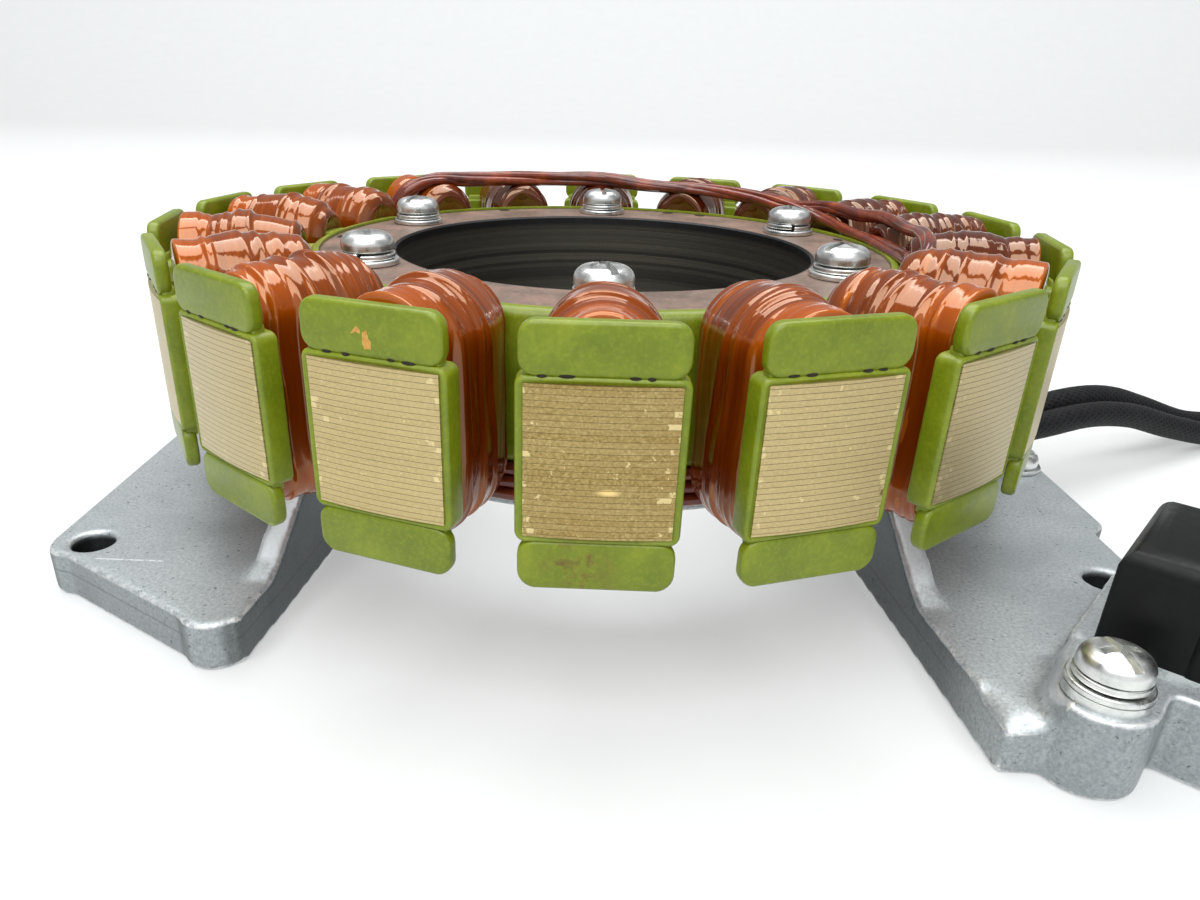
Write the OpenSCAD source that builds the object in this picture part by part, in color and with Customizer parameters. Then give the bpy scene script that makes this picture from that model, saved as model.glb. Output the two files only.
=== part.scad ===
// Wound stator of an outer-rotor generator on its cast mounting base.
// Millimetres, +Z up. The origin lies on the core's axis, half way up the laminations.
// Tooth 1 faces -Y, and the teeth are counted anticlockwise seen from above.

/* [Core] */
// Radius of the bare tooth faces
face_r = 100; // [94:0.5:110]
// Diameter of the bore through the laminations
bore_d = 97; // [90:0.5:102]
// Outer radius of the yoke ring
yoke_r = 67.5; // [65.5:0.25:69.5]
// Height of the stacked laminations
stack_h = 24; // [18:1:30]
// Width of a bare tooth face
face_w = 22.5; // [19:0.25:25]
// Width of a tooth's neck
neck_w = 10; // [8:0.25:11]
// Depth of a tooth's head along the radius
head_t = 3.6; // [3:0.1:5]
// Height of the core's mid-plane above the floor
core_h = 50; // [48:0.5:60]

/* [End plates] */
// Thickness of an end plate
plate_t = 2; // [1.5:0.1:2.2]
// Width of an end plate's neck over a tooth
plate_neck_w = 8.6; // [6:0.1:8.8]
// Width of the bent tip in front of a coil
tip_w = 24.2; // [20:0.1:26]
// Height of the bent tip beyond the stack
tip_h = 8.9; // [7:0.1:10]
// Thickness of the bent tip
tip_t = 2.6; // [2:0.1:3]
// Corner radius of the bent tip
tip_corner = 2.6; // [1.5:0.1:3.5]
// Depth of the bent tip's face behind the tooth face
tip_set = 0.5; // [0.3:0.1:1]

/* [Insulating coat] */
// Thickness of the coat in the slots
coat = 0.6; // [0.4:0.05:0.7]
// Width of the coat's border beside a tooth face
coat_border = 1.25; // [0.8:0.05:1.6]
// Corner radius of the coat's border
coat_corner = 1.6; // [0.8:0.1:2]

/* [Coils] */
// Half width of a coil at its widest turn
coil_half = 9.7; // [8.4:0.1:10.4]
// Half width of a coil at its end by the yoke
coil_inner_half = 8; // [7:0.1:8.4]
// Half width of the lower step beside the tooth head
coil_step_half = 7.6; // [6.8:0.1:8]
// Length of the lower step along the tooth
coil_step_l = 7; // [4:0.5:9]
// Height of the ridges that the outer turns leave
coil_ridge = 0.45; // [0.2:0.05:0.6]
// Number of those ridges
coil_ridges = 5; // [3:1:7]
// Room between a coil and the coat at either end
coil_end_gap = 0.8; // [0.4:0.1:1.2]

/* [Fasteners] */
// Diameter of the M6 screw shanks
screw_d = 6; // [5:0.5:6.5]
// Room round a shank in a plain hole
screw_room = 0.3; // [0.2:0.05:0.5]
// Room round a shank in a tapped hole
thread_room = 0.05; // [0.03:0.01:0.1]
// Diameter of a screw head
head_d = 11.1; // [10:0.1:12]
// Height of a screw head
head_h = 4.2; // [3.5:0.1:5]
// Diameter of a flat washer
washer_d = 12.9; // [12:0.1:14]
// Thickness of a flat washer
washer_t = 1.2; // [0.8:0.1:1.6]
// Diameter of a spring washer
spring_d = 11.4; // [10:0.1:12]
// Thickness of a spring washer
spring_t = 1.5; // [1.2:0.1:2]
// Number of screws through the core
core_screw_count = 6; // [3:3:6]
// Radius of the circle of core screws
core_screw_r = 57; // [55:0.25:60]

/* [Mounting base] */
// Thickness of the wings
wing_t = 10; // [8:0.5:12]
// Half distance between the wings where they pass the axis
wing_in = 55.7; // [53:0.1:58]
// Spread of the wings' inner walls for each mm along Y
wing_spread = 0.1; // [0.06:0.01:0.14]
// Outer side of the left wing from the axis
left_out = 114; // [112:0.5:120]
// Outer side of the right wing from the axis
right_out = 117.6; // [114:0.2:122]
// Front end of the left wing from the axis
left_front = 86; // [82:0.5:92]
// Front end of the right wing from the axis
right_front = 104; // [100:0.5:108]
// Back end of both wings from the axis
wing_back = 64; // [60:1:80]
// Thickness of the walls under the seat ring
web_t = 5.5; // [4:0.25:7]
// Where the walls' sloping front meets the wings
web_front = 70.5; // [66:0.5:74]
// Outer radius of the seat ring under the core
seat_r = 65.5; // [63:0.25:67]
// Diameter of the hole through the seat ring
seat_bore_d = 104; // [98:0.5:106]
// Thickness of the seat ring
seat_t = 11; // [8:0.5:13]
// Diameter of the mounting holes in the wings
mount_hole_d = 8.5; // [6.5:0.5:9]
// Half distance between the mounting holes
mount_hole_x = 105.2; // [104:0.2:108]
// Mounting holes in front of the axis
mount_hole_y = 56.4; // [54:0.2:60]

/* [Pickup] */
// Direction of the pickup from the front, anticlockwise
pickup_az = 49.7; // [47:0.1:52]
// Radius of the pickup's face towards the rotor
pickup_r = 122; // [120:0.5:126]
// Length of the pickup along the radius
pickup_l = 28; // [24:0.5:34]
// Width of the pickup across the radius
pickup_w = 30; // [26:0.5:34]
// Height of the pickup's moulded body
pickup_h = 18.4; // [14:0.2:22]
// Rounding of the pickup's upper edges
pickup_round = 4; // [2:0.5:6]
// Thickness of the pickup's foot plate
foot_t = 1.6; // [1.2:0.1:2]
// Height of the pad that carries the pickup
pad_h = 15.2; // [13:0.2:18]
// Radius of the boss under the pickup's screw
boss_r = 8; // [7.5:0.1:9]
// Distance of the pickup's screw from its mid-plane
ear_x = 25.4; // [24:0.1:27]
// Distance of the pickup's screw behind its face
ear_in = 5.2; // [4.6:0.2:7]
// Place of the earth screw on the right wing along X
earth_x = 110.5; // [108:0.5:111]
// Place of the earth screw on the right wing along Y
earth_y = 2; // [-8:0.5:6]

/* [Wires and leads] */
// Diameter of a jumper wire under the coils
jumper_d = 2.6; // [2:0.1:2.8]
// Diameter of a wire of the bundle on top
bundle_d = 2.2; // [1.6:0.1:2.6]
// Diameter of a sleeved lead
lead_d = 7; // [6:0.5:7]
// Length of the leads' connector
plug_l = 30; // [24:1:40]
// Width of the leads' connector
plug_w = 20; // [17:0.5:26]
// Height of the leads' connector
plug_h = 14; // [11:0.5:18]

/* [Hidden] */
$fn = 64;
ring_fn = 180;
face_fn = 360;
teeth = 18;
pitch = 360 / teeth;
past = 1;
stack_low = -stack_h / 2;
stack_top = stack_h / 2;
core_low = stack_low - plate_t;
core_top = stack_top + plate_t;
head_in = face_r - head_t;
border_w = face_w + 2 * coat_border;
coat_back = head_in - coat;
coat_wall = yoke_r + coat;
coil_wall = neck_w / 2 + coat;
coil_r0 = coat_wall + coil_end_gap;
coil_r1 = coat_back - coil_end_gap;
coil_len = coil_r1 - coil_r0;
coil_edge = 0.6;
joint = 0.01;
tip_r = face_r - tip_set;
tip_gap = 0.2;
coat_edge = tip_gap / 2;
washers_t = washer_t + spring_t;
seat_low = core_low - seat_t;
seat_top_h = core_h + core_low;
seat_low_h = core_h + seat_low;
web_h = seat_low_h + 0.5;
web_crest = 44;
web_toe = 5;
web_toe_h = wing_t + 2;
wing_corner = 6;
right_step = 4;
right_step_y = 31;
right_cut_y = mount_hole_y + 20;
right_nose = 12;
pad_rim = 3;
pad_end = 1;
pad_inner = 4;
pad_root = 20;
hole_edge = 0.6;
foot_inset = 1;
ear_w = 8;
slot_w = 1.5;
slot_depth = 1.3;
cross_depth = 2.4;
cross_l = 0.52 * head_d;
head_crown = 1.1 * head_d;
spring_cut = 0.8;
spring_turn = 30;
foot_z = pad_h + foot_t;
ear_r = pickup_r + ear_in;
plate_room = 0.1;
bundle_gap = 0.1;
shank_below = 9;
lead_room = 0.1;
lead_sides = 12;
bundle_sides = 8;
bundle_step = 4;
bundle_lag = 8;
bundle_in = 7;
jumper_rows = 3;
jumper_start = 170;
jumper_sweep = 320;
jumper_shift = 20;
bundle_start = 224;
bundle_over = 140;
bundle_down = 116;
bundle_end = 64;

// Points of a flat bend from angle a0 to a1 about a centre
function bend(centre, r, z, a0, a1, n) =
  [for (i = [0 : n]) let (a = a0 + (a1 - a0) * i / n) [centre[0] + r * cos(a), centre[1] + r * sin(a), z]];
turn_centre = [219, 26];
turn_r = 35;
lead_side = lead_d / 2 + lead_room;
lead_z = lead_d / 2 + lead_room;
plug_y = 14;
plug_socket = 12;
turn_steps = 8;
lead_upper_route = concat(
  [[56.6, -10, 20.8], [66, -10, 20.8], [76, -8.8, 20.6], [88, -5, 20], [102, 0.5, 19.5], [118, 8.5, 19.4],
   [136, 19, 19.2], [153, 28.4, 16.2], [170, 37, 10.4], [187, 45.2, 5.4], [196, 49.7, 4]],
  bend(turn_centre, turn_r - lead_side, lead_z, 118, 0, turn_steps),
  [[turn_centre[0] + turn_r - lead_side, plug_y, lead_z]]
);
lead_lower_route = concat(
  [[56.6, -4, 13.6], [66, -4, 13.6], [76, -2.2, 14], [88, 2.4, 15.2], [102, 9.6, 17.4], [118, 18.5, 19.6],
   [134, 28, 20.4], [150, 37.5, 18.4], [166, 46, 13], [182, 52.9, 7], [193, 57.3, 4.6]],
  bend(turn_centre, turn_r + lead_side, lead_z, 114, 0, turn_steps),
  [[turn_centre[0] + turn_r + lead_side, plug_y, lead_z]]
);

// Repeats its children at each tooth
module at_teeth() {
  for (k = [0 : teeth - 1]) rotate(k * pitch) children();
}

// Places its children by their height above the surface that the base stands on
module on_floor() {
  translate([0, 0, -core_h]) children();
}

module at_core_screws() {
  for (k = [0 : core_screw_count - 1])
    rotate(k * 360 / core_screw_count) translate([0, -core_screw_r, 0]) children();
}

// A block from radius r0 to r1 in front of the axis, w wide, z0 to z1
module radial_block(r0, r1, w, z0, z1) {
  translate([-w / 2, -r1, z0]) cube([w, r1 - r0, z1 - z0]);
}

// A rectangle with round corners, standing in front of the axis, from radius r0 to r1
module radial_plate(r0, r1, w, z0, z1, corner) {
  translate([0, -r0, (z0 + z1) / 2]) rotate([90, 0, 0]) linear_extrude(r1 - r0) {
    square([w, z1 - z0 - 2 * corner], center = true);
    square([w - 2 * corner, z1 - z0], center = true);
    for (x = [-1, 1], y = [-1, 1])
      translate([x * (w / 2 - corner), y * ((z1 - z0) / 2 - corner)]) circle(corner);
  }
}

module core_holes(z0, z1) {
  translate([0, 0, z0 - past]) cylinder(d = bore_d, h = z1 - z0 + 2 * past, $fn = ring_fn);
  at_core_screws() translate([0, 0, z0]) shank_hole(z1 - z0);
}

// Lamination stack: yoke ring, necks and heads
module lamination_stack() {
  color([0.62, 0.55, 0.36]) difference() {
    union() {
      translate([0, 0, stack_low]) cylinder(r = yoke_r, h = stack_h, $fn = ring_fn);
      intersection() {
        translate([0, 0, stack_low]) cylinder(r = face_r, h = stack_h, $fn = face_fn);
        at_teeth() {
          radial_block(yoke_r - 2, head_in + joint, neck_w, stack_low, stack_top);
          radial_block(head_in, face_r + 1, face_w, stack_low, stack_top);
        }
      }
    }
    core_holes(stack_low, stack_top);
  }
}

// End plate: a flat ring with necks whose tips are bent away from the stack
module end_plate() {
  difference() {
    union() {
      cylinder(r = yoke_r, h = plate_t, $fn = ring_fn);
      at_teeth() {
        radial_block(yoke_r - 2, tip_r - tip_t / 2, plate_neck_w, 0, plate_t);
        radial_block(head_in, tip_r - tip_t / 2, face_w - 2 * tip_corner, 0, plate_t);
        radial_plate(tip_r - tip_t, tip_r, tip_w, tip_gap, tip_h, tip_corner);
      }
    }
    core_holes(0, plate_t);
  }
}

module top_end_plate() {
  color([0.45, 0.58, 0.2]) translate([0, 0, stack_top]) end_plate();
}

module bottom_end_plate() {
  color([0.45, 0.58, 0.2]) translate([0, 0, stack_low]) mirror([0, 0, 1]) end_plate();
}

// Green coat: yoke wall, slot walls and a border round every tooth face
module insulating_coat() {
  color([0.5, 0.66, 0.24]) {
    difference() {
      translate([0, 0, core_low - coat])
        cylinder(r = coat_wall, h = core_top - core_low + 2 * coat, $fn = ring_fn);
      translate([0, 0, core_low]) cylinder(r = yoke_r, h = core_top - core_low, $fn = ring_fn);
      translate([0, 0, core_low - coat - 1])
        cylinder(r = seat_r + plate_room, h = core_top - core_low + 2 * coat + 2, $fn = ring_fn);
      at_teeth() {
        radial_block(yoke_r - 1, face_r, neck_w, stack_low, stack_top);
        radial_block(yoke_r - 1, face_r, plate_neck_w, core_low, core_top);
      }
    }
    at_teeth() tooth_coat();
  }
}

module tooth_coat() {
  for (side = [-1, 1]) {
    translate([side * (neck_w + coat) / 2, 0, 0])
      radial_block(coat_wall - coat / 2, coat_back + coat / 2, coat, stack_low, stack_top);
  }
  difference() {
    intersection() {
      radial_plate(coat_back, face_r + past, border_w,
        stack_low - coat_edge, stack_top + coat_edge, coat_corner);
      translate([0, 0, stack_low - 1]) cylinder(r = face_r, h = stack_h + 2, $fn = face_fn);
    }
    radial_block(coat_back - 1, head_in + joint, neck_w, stack_low - 1, stack_top + 1);
    radial_block(head_in, face_r + 2, face_w, stack_low - 1, stack_top + 1);
  }
}

// Outer line of a coil's section: a swelling with uneven ridges that differ from coil to coil
function coil_swell(u) = coil_inner_half + (coil_half - coil_inner_half) * sin(u * 130);
function coil_wave(u, number) =
  0.6 * sin(360 * (u * coil_ridges / 2 + 0.37 * number)) + 0.4 * sin(360 * (u * coil_ridges + 0.23 * number));
function coil_point(u, number) = [
  coil_swell(u) - coil_ridge * (1 - coil_wave(u, number)) / 2,
  coil_edge + u * (coil_len - coil_step_l - coil_edge)
];

module coil_section(number) {
  points = 4 * coil_ridges;
  polygon(concat(
    [[coil_wall, 0], [coil_inner_half - coil_edge, 0]],
    [for (i = [0 : points]) coil_point(i / points, number)],
    [
      [coil_step_half, coil_len - coil_step_l + coil_edge],
      [coil_step_half, coil_len - coil_edge],
      [coil_step_half - coil_edge, coil_len],
      [coil_wall, coil_len]
    ]
  ));
}

// Coil: straight flanks beside the neck, joined by half-round ends above and below
module coil(number) {
  color([0.58, 0.27, 0.1]) rotate((number - 1) * pitch) translate([0, -coil_r0, 0]) {
    for (side = [0, 1]) translate([0, 0, stack_low]) mirror([side, 0, 0])
      linear_extrude(stack_h) mirror([0, 1]) coil_section(number);
    for (end = [0, 1]) translate([0, 0, end ? stack_low : stack_top]) mirror([0, 0, end]) {
      rotate([90, 0, 0]) rotate_extrude(angle = 180) coil_section(number);
      coil_crown();
    }
  }
}

// The first turns, which lie flat on the coat between the neck and the half-round end
module coil_crown() {
  intersection() {
    rotate([90, 0, 0]) cylinder(r = coil_wall + coil_edge, h = coil_len);
    translate([-coil_wall, -coil_len, plate_t + coat]) cube([2 * coil_wall, coil_len, coil_wall]);
  }
}

// Pan-head screw with a slot and a cross, its head's underside at z = 0
module pan_screw(shank) {
  difference() {
    union() {
      intersection() {
        cylinder(d = head_d, h = head_h);
        translate([0, 0, head_h - head_crown]) sphere(r = head_crown, $fn = 96);
      }
      translate([0, 0, -shank]) cylinder(d = screw_d, h = shank + joint);
    }
    translate([-slot_w / 2, -head_d, head_h - slot_depth]) cube([slot_w, 2 * head_d, head_h]);
    translate([-cross_l / 2, -slot_w / 2, head_h - cross_depth]) cube([cross_l, slot_w, head_h]);
    translate([-slot_w / 2, -cross_l / 2, head_h - cross_depth]) cube([slot_w, cross_l, head_h]);
  }
}

module shank_hole(depth) {
  translate([0, 0, -past]) cylinder(d = screw_d + 2 * screw_room, h = depth + 2 * past);
}

module flat_washer() {
  difference() {
    cylinder(d = washer_d, h = washer_t);
    shank_hole(washer_t);
  }
}

module spring_washer() {
  difference() {
    cylinder(d = spring_d, h = spring_t);
    shank_hole(spring_t);
    rotate(spring_turn) translate([0, -spring_cut / 2, -past])
      cube([spring_d, spring_cut, spring_t + 2 * past]);
  }
}

module core_screws() {
  color([0.8, 0.8, 0.78]) at_core_screws() translate([0, 0, core_top + washers_t])
    pan_screw(core_top + washers_t - seat_low - past);
}

module core_spring_washers() {
  color([0.75, 0.75, 0.73]) at_core_screws() translate([0, 0, core_top + washer_t]) spring_washer();
}

module core_flat_washers() {
  color([0.8, 0.8, 0.78]) at_core_screws() translate([0, 0, core_top]) flat_washer();
}

// Outline of the right wing, seen from above
module right_wing_outline() {
  step_x = right_out - right_step;
  polygon([
    [wing_in + wing_spread * wing_back, wing_back],
    [right_out, wing_back],
    [right_out, -right_step_y],
    [step_x, -right_step_y - right_step],
    [step_x, -right_cut_y],
    [wing_in + wing_spread * right_front + right_nose, -right_front],
    [wing_in + wing_spread * right_front, -right_front],
    [wing_in, 0]
  ]);
}

module left_wing_outline() {
  front_x = -wing_in - wing_spread * left_front;
  polygon([
    [-wing_in - wing_spread * wing_back, wing_back],
    [-left_out, wing_back],
    [-left_out, -mount_hole_y],
    [-left_out + wing_corner, -mount_hole_y - wing_corner],
    [front_x - wing_corner, -left_front],
    [front_x, -left_front + wing_corner / 2],
    [-wing_in, 0]
  ]);
  translate([-left_out + wing_corner, -mount_hole_y]) circle(wing_corner);
  translate([front_x - wing_corner, -left_front + wing_corner]) circle(wing_corner);
}

// Wall along a wing's inner edge, sloping up to the seat ring
module web_outline() {
  polygon([
    [wing_in + wing_spread * wing_back, wing_back],
    [wing_in + wing_spread * wing_back + web_t, wing_back],
    [wing_in + web_t, 0],
    [wing_in + wing_spread * right_front + web_t, -right_front],
    [wing_in + wing_spread * right_front, -right_front],
    [wing_in, 0]
  ]);
}

module web() {
  intersection() {
    linear_extrude(seat_top_h) web_outline();
    rotate([90, 0, 90]) linear_extrude(right_out) polygon([
      [-web_front, 0],
      [-web_front, wing_t],
      [-web_front + web_toe, web_toe_h],
      [-web_crest, web_h],
      [web_crest, web_h],
      [wing_back - web_toe, web_toe_h],
      [wing_back, wing_t],
      [wing_back, 0]
    ]);
  }
}

// The pad and boss that carry the pickup, in the pickup's own direction
module pickup_place() {
  rotate(pickup_az) children();
}

module pad_outline() {
  translate([-pickup_w / 2 - pad_rim, -pickup_r - pickup_l - pad_end])
    square([pickup_w + 2 * pad_rim, pickup_l + pad_end + pad_inner]);
  translate([-ear_x, -ear_r]) circle(boss_r);
  translate([-ear_x, -ear_r - boss_r]) square([ear_x, 2 * boss_r]);
}

module tapped_hole(depth) {
  cylinder(d = screw_d + 2 * thread_room, h = depth);
}

// Cast base: two wings on the floor, a wall on each, the seat ring and the pickup's pad
module mounting_base() {
  color([0.5, 0.52, 0.53]) on_floor() difference() {
    union() {
      linear_extrude(wing_t) left_wing_outline();
      linear_extrude(wing_t) right_wing_outline();
      web();
      mirror([1, 0, 0]) web();
      translate([0, 0, seat_low_h]) cylinder(r = seat_r, h = seat_t, $fn = ring_fn);
      pickup_place() linear_extrude(pad_h) pad_outline();
      pickup_place() linear_extrude(wing_t) translate([-pickup_w / 2 - pad_rim, -pickup_r])
        square([pickup_w + 2 * pad_rim, pad_root]);
    }
    translate([0, 0, seat_low_h - past]) cylinder(d = seat_bore_d, h = seat_t + 2 * past, $fn = ring_fn);
    at_core_screws() translate([0, 0, seat_low_h - past]) tapped_hole(seat_t + 2 * past);
    for (side = [-1, 1]) translate([side * mount_hole_x, -mount_hole_y, -past]) {
      cylinder(d = mount_hole_d, h = wing_t + 2 * past);
      translate([0, 0, past + wing_t - hole_edge])
        cylinder(d1 = mount_hole_d, d2 = mount_hole_d + 4 * hole_edge, h = 2 * hole_edge);
    }
    pickup_place() translate([-ear_x, -ear_r, pad_h - shank_below]) tapped_hole(shank_below + past);
    translate([earth_x, earth_y, -past]) tapped_hole(wing_t + 2 * past);
    for (route = [lead_upper_route, lead_lower_route]) translate([wing_in - past, route[0][1], route[0][2]])
      rotate([0, 90, 0]) cylinder(d = lead_d + 2 * lead_room, h = web_t + 4 * past);
  }
}

// Foot plate of the pickup, with a round ear under the screw
module pickup_foot_plate() {
  color([0.7, 0.7, 0.68]) on_floor() pickup_place()
    translate([0, 0, pad_h]) linear_extrude(foot_t) difference() {
    union() {
      translate([-ear_x, -ear_r]) circle(d = washer_d);
      translate([-ear_x, -ear_r - ear_w / 2]) square([ear_x, ear_w]);
      translate([-pickup_w / 2 + foot_inset, -pickup_r - pickup_l + foot_inset])
        square([pickup_w - 2 * foot_inset, pickup_l - 2 * foot_inset]);
    }
    translate([-ear_x, -ear_r]) circle(d = screw_d + 2 * screw_room);
  }
}

// Potted pickup: a block whose upper edges are rounded along the radius
module pickup_body() {
  half = pickup_w / 2;
  top = foot_z + pickup_h;
  color([0.07, 0.07, 0.07]) on_floor() pickup_place() {
    translate([0, -pickup_r, 0]) rotate([90, 0, 0]) linear_extrude(pickup_l) {
      translate([-half, foot_z]) square([pickup_w, pickup_h - pickup_round]);
      translate([-half + pickup_round, foot_z]) square([pickup_w - 2 * pickup_round, pickup_h]);
      for (x = [-1, 1]) translate([x * (half - pickup_round), top - pickup_round]) circle(pickup_round);
    }
  }
}

module at_pickup_screw(z) {
  on_floor() pickup_place() translate([-ear_x, -ear_r, z]) children();
}

module pickup_screw() {
  color([0.78, 0.79, 0.72]) at_pickup_screw(foot_z + washers_t)
    pan_screw(foot_t + washers_t + shank_below - past);
}

module pickup_spring_washer() {
  color([0.75, 0.75, 0.73]) at_pickup_screw(foot_z + washer_t) spring_washer();
}

module pickup_flat_washer() {
  color([0.8, 0.8, 0.78]) at_pickup_screw(foot_z) flat_washer();
}

module earth_screw() {
  color([0.8, 0.8, 0.78]) on_floor() translate([earth_x, earth_y, wing_t + washer_t])
    pan_screw(wing_t + washer_t - past);
}

module earth_washer() {
  color([0.8, 0.8, 0.78]) on_floor() translate([earth_x, earth_y, wing_t]) flat_washer();
}

// Three varnished jumper wires lie under the coils' inner ends, against the seat ring
module jumper_wires() {
  ring_r = seat_r + plate_room + jumper_d / 2;
  top_z = core_low - coat - plate_room - jumper_d / 2;
  color([0.4, 0.14, 0.05]) for (row = [0 : jumper_rows - 1])
    translate([0, 0, top_z - row * (jumper_d + plate_room)]) rotate(jumper_start + row * jumper_shift)
      rotate_extrude(angle = jumper_sweep - 2 * row * jumper_shift, $fn = 96)
        translate([ring_r, 0]) circle(jumper_d / 2, $fn = 24);
}

// Bundle of varnished wires over the rear coils, which comes down to the yoke on the right
function bundle_fall(az) = az > bundle_over ? 0 : az < bundle_down ? 1
  : (1 - cos(180 * (bundle_over - az) / (bundle_over - bundle_down))) / 2;
function bundle_point(az, row) =
  let (
    fall = bundle_fall(az),
    over_r = coil_r0 + bundle_in - row * (bundle_d + bundle_gap),
    yoke_side_r = yoke_r - coat - row * (bundle_d + bundle_gap),
    over_z = stack_top + coil_half + bundle_gap + bundle_d / 2,
    yoke_z = core_top + coat + bundle_gap + bundle_d / 2,
    r = over_r + (yoke_side_r - over_r) * fall
  ) [r * sin(az), -r * cos(az), over_z + (yoke_z - over_z) * fall];

module neutral_bundle() {
  color([0.45, 0.16, 0.07]) for (row = [0, 1])
    tube([for (az = [bundle_end : bundle_step : bundle_start - bundle_lag * row]) bundle_point(az, row)],
      bundle_d, bundle_sides);
}

// A round tube through the points of a route, with flat ends square to it
module tube(route, d, sides) {
  last = len(route) - 1;
  rings = [for (i = [0 : last])
    let (
      along = route[min(i + 1, last)] - route[max(i - 1, 0)],
      dir = along / norm(along),
      across = cross(dir, [0, 0, 1]) / norm(cross(dir, [0, 0, 1])),
      up = cross(across, dir)
    ) for (k = [0 : sides - 1])
      route[i] + d / 2 * (cos(k * 360 / sides) * across + sin(k * 360 / sides) * up)];
  faces = concat(
    [[for (k = [0 : sides - 1]) k]],
    [for (i = [0 : last - 1], k = [0 : sides - 1])
      let (a = i * sides + k, b = i * sides + (k + 1) % sides) [a, a + sides, b + sides, b]],
    [[for (k = [sides - 1 : -1 : 0]) last * sides + k]]
  );
  polyhedron(rings, faces, convexity = 10);
}

module lead_upper() {
  color([0.06, 0.06, 0.06]) on_floor() tube(lead_upper_route, lead_d, lead_sides);
}

module lead_lower() {
  color([0.06, 0.06, 0.06]) on_floor() tube(lead_lower_route, lead_d, lead_sides);
}

module lead_connector() {
  color([0.12, 0.12, 0.13]) on_floor() translate([turn_centre[0] + turn_r, plug_y, 0]) difference() {
    translate([-plug_w / 2, -plug_l, 0]) cube([plug_w, plug_l, plug_h]);
    for (side = [-1, 1]) translate([side * plug_w / 4 - plug_w / 6, -plug_l - past, plug_h / 4])
      cube([plug_w / 3, plug_socket + past, plug_h / 2]);
  }
}

mounting_base();
lamination_stack();
top_end_plate();
bottom_end_plate();
insulating_coat();
coil(1);  // coil_01
coil(2);  // coil_02
coil(3);  // coil_03
coil(4);  // coil_04
coil(5);  // coil_05
coil(6);  // coil_06
coil(7);  // coil_07
coil(8);  // coil_08
coil(9);  // coil_09
coil(10);  // coil_10
coil(11);  // coil_11
coil(12);  // coil_12
coil(13);  // coil_13
coil(14);  // coil_14
coil(15);  // coil_15
coil(16);  // coil_16
coil(17);  // coil_17
coil(18);  // coil_18
core_screws();
core_spring_washers();
core_flat_washers();
pickup_body();
pickup_foot_plate();
pickup_screw();
pickup_spring_washer();
pickup_flat_washer();
earth_screw();
earth_washer();
jumper_wires();
neutral_bundle();
lead_upper();
lead_lower();
lead_connector();
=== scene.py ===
# %% [markdown]
# # A wound stator, dressed for a studio picture
# The CAD model gives every size. This lesson adds what a photograph shows on the real thing:
# the rounded casting, the green insulating coat, the varnished coils, the bright screws and the
# braided leads. Everything is in metres and in the CAD model's own frame, so nothing is fitted
# by eye: the core's axis is Z and its mid-plane is z = 0.

import math
import random

import bmesh
import bpy
from mathutils import Matrix, Vector, noise


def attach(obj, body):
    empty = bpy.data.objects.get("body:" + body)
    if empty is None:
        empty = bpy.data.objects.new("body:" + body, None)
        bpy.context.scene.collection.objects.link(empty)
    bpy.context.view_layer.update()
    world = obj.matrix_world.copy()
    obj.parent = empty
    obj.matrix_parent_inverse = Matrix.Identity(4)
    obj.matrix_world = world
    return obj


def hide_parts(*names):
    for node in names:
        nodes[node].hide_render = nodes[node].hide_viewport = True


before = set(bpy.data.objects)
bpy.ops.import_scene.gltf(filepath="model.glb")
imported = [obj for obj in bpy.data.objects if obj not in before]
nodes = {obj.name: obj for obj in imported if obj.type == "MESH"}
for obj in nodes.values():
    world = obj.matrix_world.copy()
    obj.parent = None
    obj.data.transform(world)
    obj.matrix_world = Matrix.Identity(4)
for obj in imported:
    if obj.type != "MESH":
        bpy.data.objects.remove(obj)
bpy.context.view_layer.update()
mm = 0.001
floor_level = -50
floor_z = floor_level * mm
teeth = 18
pitch = math.tau / teeth

# %% [markdown]
# ## Camera
# The photograph was taken close up with a wide lens, so the front teeth look large and the far
# side falls away. Place, turn and lens were solved from tooth corners and base corners, which
# is why the numbers are not round. The shift keeps the picture's centre where the photo has it.

# %% Camera


def placed(name, data):
    """A new object in the scene, at the origin."""
    made = bpy.data.objects.new(name, data)
    bpy.context.scene.collection.objects.link(made)
    return made


camera_data = bpy.data.cameras.new("camera")
camera_data.sensor_width = 36
camera_data.lens = 26.59
camera_data.shift_x = 0.032754
camera_data.shift_y = 0.040938
camera_data.clip_start = 0.01
camera = placed("camera", camera_data)
bpy.context.scene.camera = camera
camera_place = Vector((-2.105, -217.10, 50.777)) * mm
yaw, pitch_down, roll = (math.radians(a) for a in (-1.689, 25.608, 1.357))
flat = math.cos(pitch_down)
look = Vector((math.sin(yaw) * flat, math.cos(yaw) * flat, -math.sin(pitch_down)))
level = Vector((math.cos(yaw), -math.sin(yaw), 0))
upright = level.cross(look)
right = level * math.cos(roll) + upright * math.sin(roll)
above = upright * math.cos(roll) - level * math.sin(roll)
turn = Matrix((right, above, -look)).transposed()
camera.matrix_world = Matrix.Translation(camera_place) @ turn.to_4x4()
print("camera looks along", [round(v, 3) for v in look])

# %% [markdown]
# ## Helpers for finishes
# A finish is a node material. new_finish starts one, and the other helpers work on its node tree:
# one adds a node and wires its inputs, and the rest add arithmetic, a colour ramp, a tint or a
# bump. All patterns read the place on the object in metres, so a noise scale of 1000 gives grains
# of about a millimetre.

# %% Node helpers


def srgb(red, green, blue):
    """A screen colour of 0 to 255 as the linear colour that shaders use."""
    parts = [c / 255 for c in (red, green, blue)]
    return tuple(c / 12.92 if c < 0.04045 else ((c + 0.055) / 1.055) ** 2.4 for c in parts) + (1,)


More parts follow.
